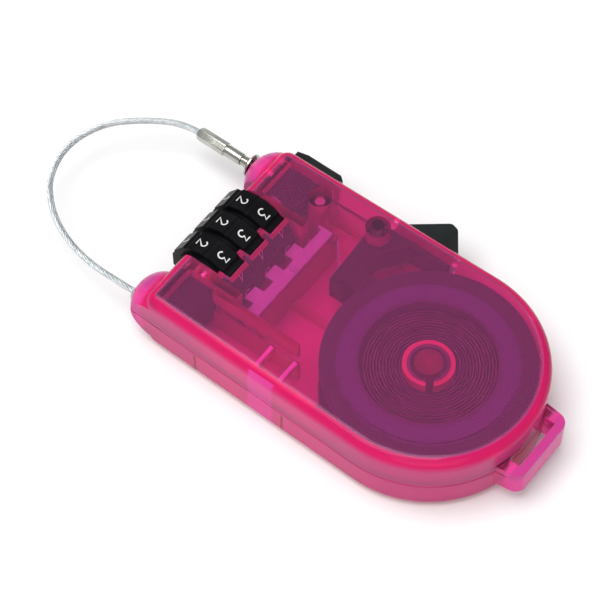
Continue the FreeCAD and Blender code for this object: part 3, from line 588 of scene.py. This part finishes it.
def make_clip(looks):
    """The two bent fingers that snap the shells together beside the spool."""
    _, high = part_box("front_shell")
    top = high.z - SHELL_WALL - CLIP_WIRE * 1.2
    verts, faces = [], []
    for side in (-1, 1):
        y = CLIP_Y + side * CLIP_HALF_WIDTH
        bend = [Vector((CLIP_REACH, y, top)), Vector((CLIP_BEND_START, y, top))]
        for k in range(CLIP_BEND_STEPS + 1):
            turn = math.pi / 2 * k / CLIP_BEND_STEPS
            bend.append(Vector((CLIP_BEND_CENTRE - CLIP_BEND_RADIUS * math.sin(turn), y,
                                top - CLIP_BEND_RADIUS * (1 - math.cos(turn)))))
        bend.append(Vector((CLIP_BEND_CENTRE - CLIP_BEND_RADIUS, y, CLIP_FOOT)))
        tube(evenly(bend, POINT_STEP), CLIP_WIRE, 12, verts, faces)
    mesh_piece("snap_clip", verts, faces, looks["clip"], "housing")


# ------------------------------------------------------------------ dials
DIAL_FACES = 10
DIGIT_HEIGHT = 2.1 * MM
STROKE = 0.145 * MM
STROKE_FLATNESS = 0.22
FACE_RADIUS = 7.75 * MM
TOP_DIGIT = 2
TOP_DIGIT_TURN = math.radians(18)


def arc(x, y, wide, tall, start, end, steps=12):
    """Points on part of an oval, from one angle to another in degrees."""
    angles = [math.radians(start + (end - start) * k / steps) for k in range(steps + 1)]
    return [(x + wide * math.cos(a), y + tall * math.sin(a)) for a in angles]


def digit_strokes(digit):
    """The centre lines of a number, in a box 1 high about the origin."""
    return {
        0: [arc(0, 0, 0.29, 0.5, 0, 360, 32)],
        1: [[(-0.16, 0.3), (0.06, 0.5), (0.06, -0.5)]],
        2: [arc(0, 0.2, 0.27, 0.3, 165, -20) + [(-0.3, -0.5), (0.3, -0.5)]],
        3: [[(-0.26, 0.5), (0.26, 0.5), (0.0, 0.1)] + arc(0, -0.2, 0.3, 0.3, 80, -160)],
        4: [[(0.14, -0.5), (0.14, 0.5), (-0.3, -0.2), (0.32, -0.2)]],
        5: [[(0.26, 0.5), (-0.2, 0.5), (-0.24, 0.06)] + arc(0, -0.18, 0.3, 0.32, 120, -150)],
        6: [arc(0, -0.2, 0.29, 0.3, 0, 360, 24),
            [(0.2, 0.5)] + arc(0.06, -0.1, 0.35, 0.5, 115, 180)],
        7: [[(-0.28, 0.5), (0.28, 0.5), (-0.08, -0.5)]],
        8: [arc(0, 0.26, 0.23, 0.24, 0, 360, 24), arc(0, -0.23, 0.29, 0.27, 0, 360, 24)],
        9: [arc(0, 0.2, 0.29, 0.3, 0, 360, 24),
            [(-0.2, -0.5)] + arc(-0.06, 0.1, 0.35, 0.5, -65, 0)],
    }[digit]


def digit_mesh(digit):
    """One printed number as thin rounded strokes, lying on the origin and facing +Z."""
    curve = bpy.data.curves.new("digit", "CURVE")
    curve.dimensions = "3D"
    curve.bevel_depth = STROKE
    curve.bevel_resolution = 2
    curve.use_fill_caps = True
    for stroke in digit_strokes(digit):
        spline = curve.splines.new("POLY")
        spline.points.add(len(stroke) - 1)
        for point, (x, y) in zip(spline.points, stroke):
            point.co = (x * DIGIT_HEIGHT, y * DIGIT_HEIGHT, 0, 1)
    writer = bpy.data.objects.new("digit", curve)
    bpy.context.scene.collection.objects.link(writer)
    mesh = bpy.data.meshes.new_from_object(writer)
    bpy.data.objects.remove(writer)
    mesh.transform(Matrix.Diagonal((1, 1, STROKE_FLATNESS, 1)))
    return mesh


def make_digits(looks):
    """The white numbers on the ten faces of each dial."""
    printed = [digit_mesh(digit) for digit in range(DIAL_FACES)]
    low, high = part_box("dial_1_sleeve")
    axis_y, axis_z = (low.y + high.y) / 2, (low.z + high.z) / 2
    for dial in DIALS:
        low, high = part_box(f"dial_{dial}_ring")
        centre = Vector(((low.x + high.x) / 2, axis_y, axis_z))
        work = bmesh.new()
        for digit, mesh in enumerate(printed):
            turn = TOP_DIGIT_TURN - 2 * math.pi / DIAL_FACES * (digit - TOP_DIGIT)
            out = Vector((0, math.sin(turn), math.cos(turn)))
            up = Vector((0, -math.cos(turn), math.sin(turn)))
            right = up.cross(out)
            facing = Matrix((right, up, out)).transposed().to_4x4()
            moved = mesh.copy()
            moved.transform(Matrix.Translation(centre + out * FACE_RADIUS) @ facing)
            work.from_mesh(moved)
            bpy.data.meshes.remove(moved)
        whole = bpy.data.meshes.new(f"dial_{dial}_numbers")
        work.to_mesh(whole)
        work.free()
        whole.shade_smooth()
        piece = bpy.data.objects.new(f"dial_{dial}_numbers", whole)
        bpy.context.scene.collection.objects.link(piece)
        paint(piece, looks["print"])
        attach(piece, f"dial_{dial}")


# ------------------------------------------------------------------ carried-over nodes
def paint_nodes(looks):
    """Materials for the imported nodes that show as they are."""
    by_look = {
        "shell": ("back_shell", "front_shell"),
        "arbor": ("spool_arbor",),
        "black": ("release_button", "brake_lever", "cable_guide"),
        "dial": tuple(f"dial_{dial}_ring" for dial in DIALS),
        "sleeve": tuple(f"dial_{dial}_sleeve" for dial in DIALS),
        "spool": ("spool_drum", "spool_flange"),
        "steel": ("plug_catch", "spindle_spring", "lever_spring"),
        "bright": ("detent_spring",),
        "pin": ("case_screw", "lever_pivot_pin"),
        "blued": ("power_spring",),
        "nickel": ("cable_grommet", "plug_socket", "lock_spindle"),
        "strand": ("cable_lead",),
        "rubber": ("brake_pad",),
    }
    for look, names in by_look.items():
        for name in names:
            paint(NODES[name], looks[look])


# ------------------------------------------------------------------ studio
FLOOR_HALF = 3.0
FLOOR_GAP = 0.03 * MM
SOFTBOX_SIZE = 0.6


def make_floor():
    """A pale floor a hair below the back face, so the two never share a plane."""
    corners = [(x * FLOOR_HALF, y * FLOOR_HALF, -FLOOR_GAP) for x, y in
               ((-1, -1), (1, -1), (1, 1), (-1, 1))]
    mesh = bpy.data.meshes.new("floor")
    mesh.from_pydata(corners, [], [(0, 1, 2, 3)])
    floor = bpy.data.objects.new("floor", mesh)
    bpy.context.scene.collection.objects.link(floor)
    material, tree, principled = shader("pale_floor", Roughness=0.9)
    principled.inputs["Specular IOR Level"].default_value = 0.1
    grain = noise(tree, 40 * MM, 2.0)
    tree.links.new(tint(tree, grain, (0.85, 0.85, 0.85), (0.86, 0.86, 0.86)),
                   principled.inputs["Base Color"])
    mesh.materials.append(material)


def softbox(name, place, power):
    """A square lamp that faces the origin."""
    data = bpy.data.lights.new(name, "AREA")
    data.energy = power
    data.size = SOFTBOX_SIZE
    lamp = bpy.data.objects.new(name, data)
    lamp.location = place
    lamp.rotation_mode = "QUATERNION"
    lamp.rotation_quaternion = (-Vector(place)).to_track_quat("-Z", "Y")
    bpy.context.scene.collection.objects.link(lamp)


def make_studio():
    """A pale floor under an even sky, with a key light overhead and a fill from the left."""
    make_floor()
    world = bpy.data.worlds.new("studio")
    world.use_nodes = True
    background = world.node_tree.nodes["Background"]
    background.inputs["Color"].default_value = (1, 1, 1, 1)
    background.inputs["Strength"].default_value = 0.45
    bpy.context.scene.world = world
    softbox("key_box", (-0.12, 0.16, 0.75), 5.4)
    softbox("fill_box", (-0.45, -0.35, 0.45), 1.6)
    bpy.context.scene.view_settings.view_transform = "Standard"


# ------------------------------------------------------------------ build
make_camera()
looks = make_materials()
make_cable(looks)
make_winding(looks)
make_clip(looks)
paint_nodes(looks)
make_digits(looks)
make_studio()
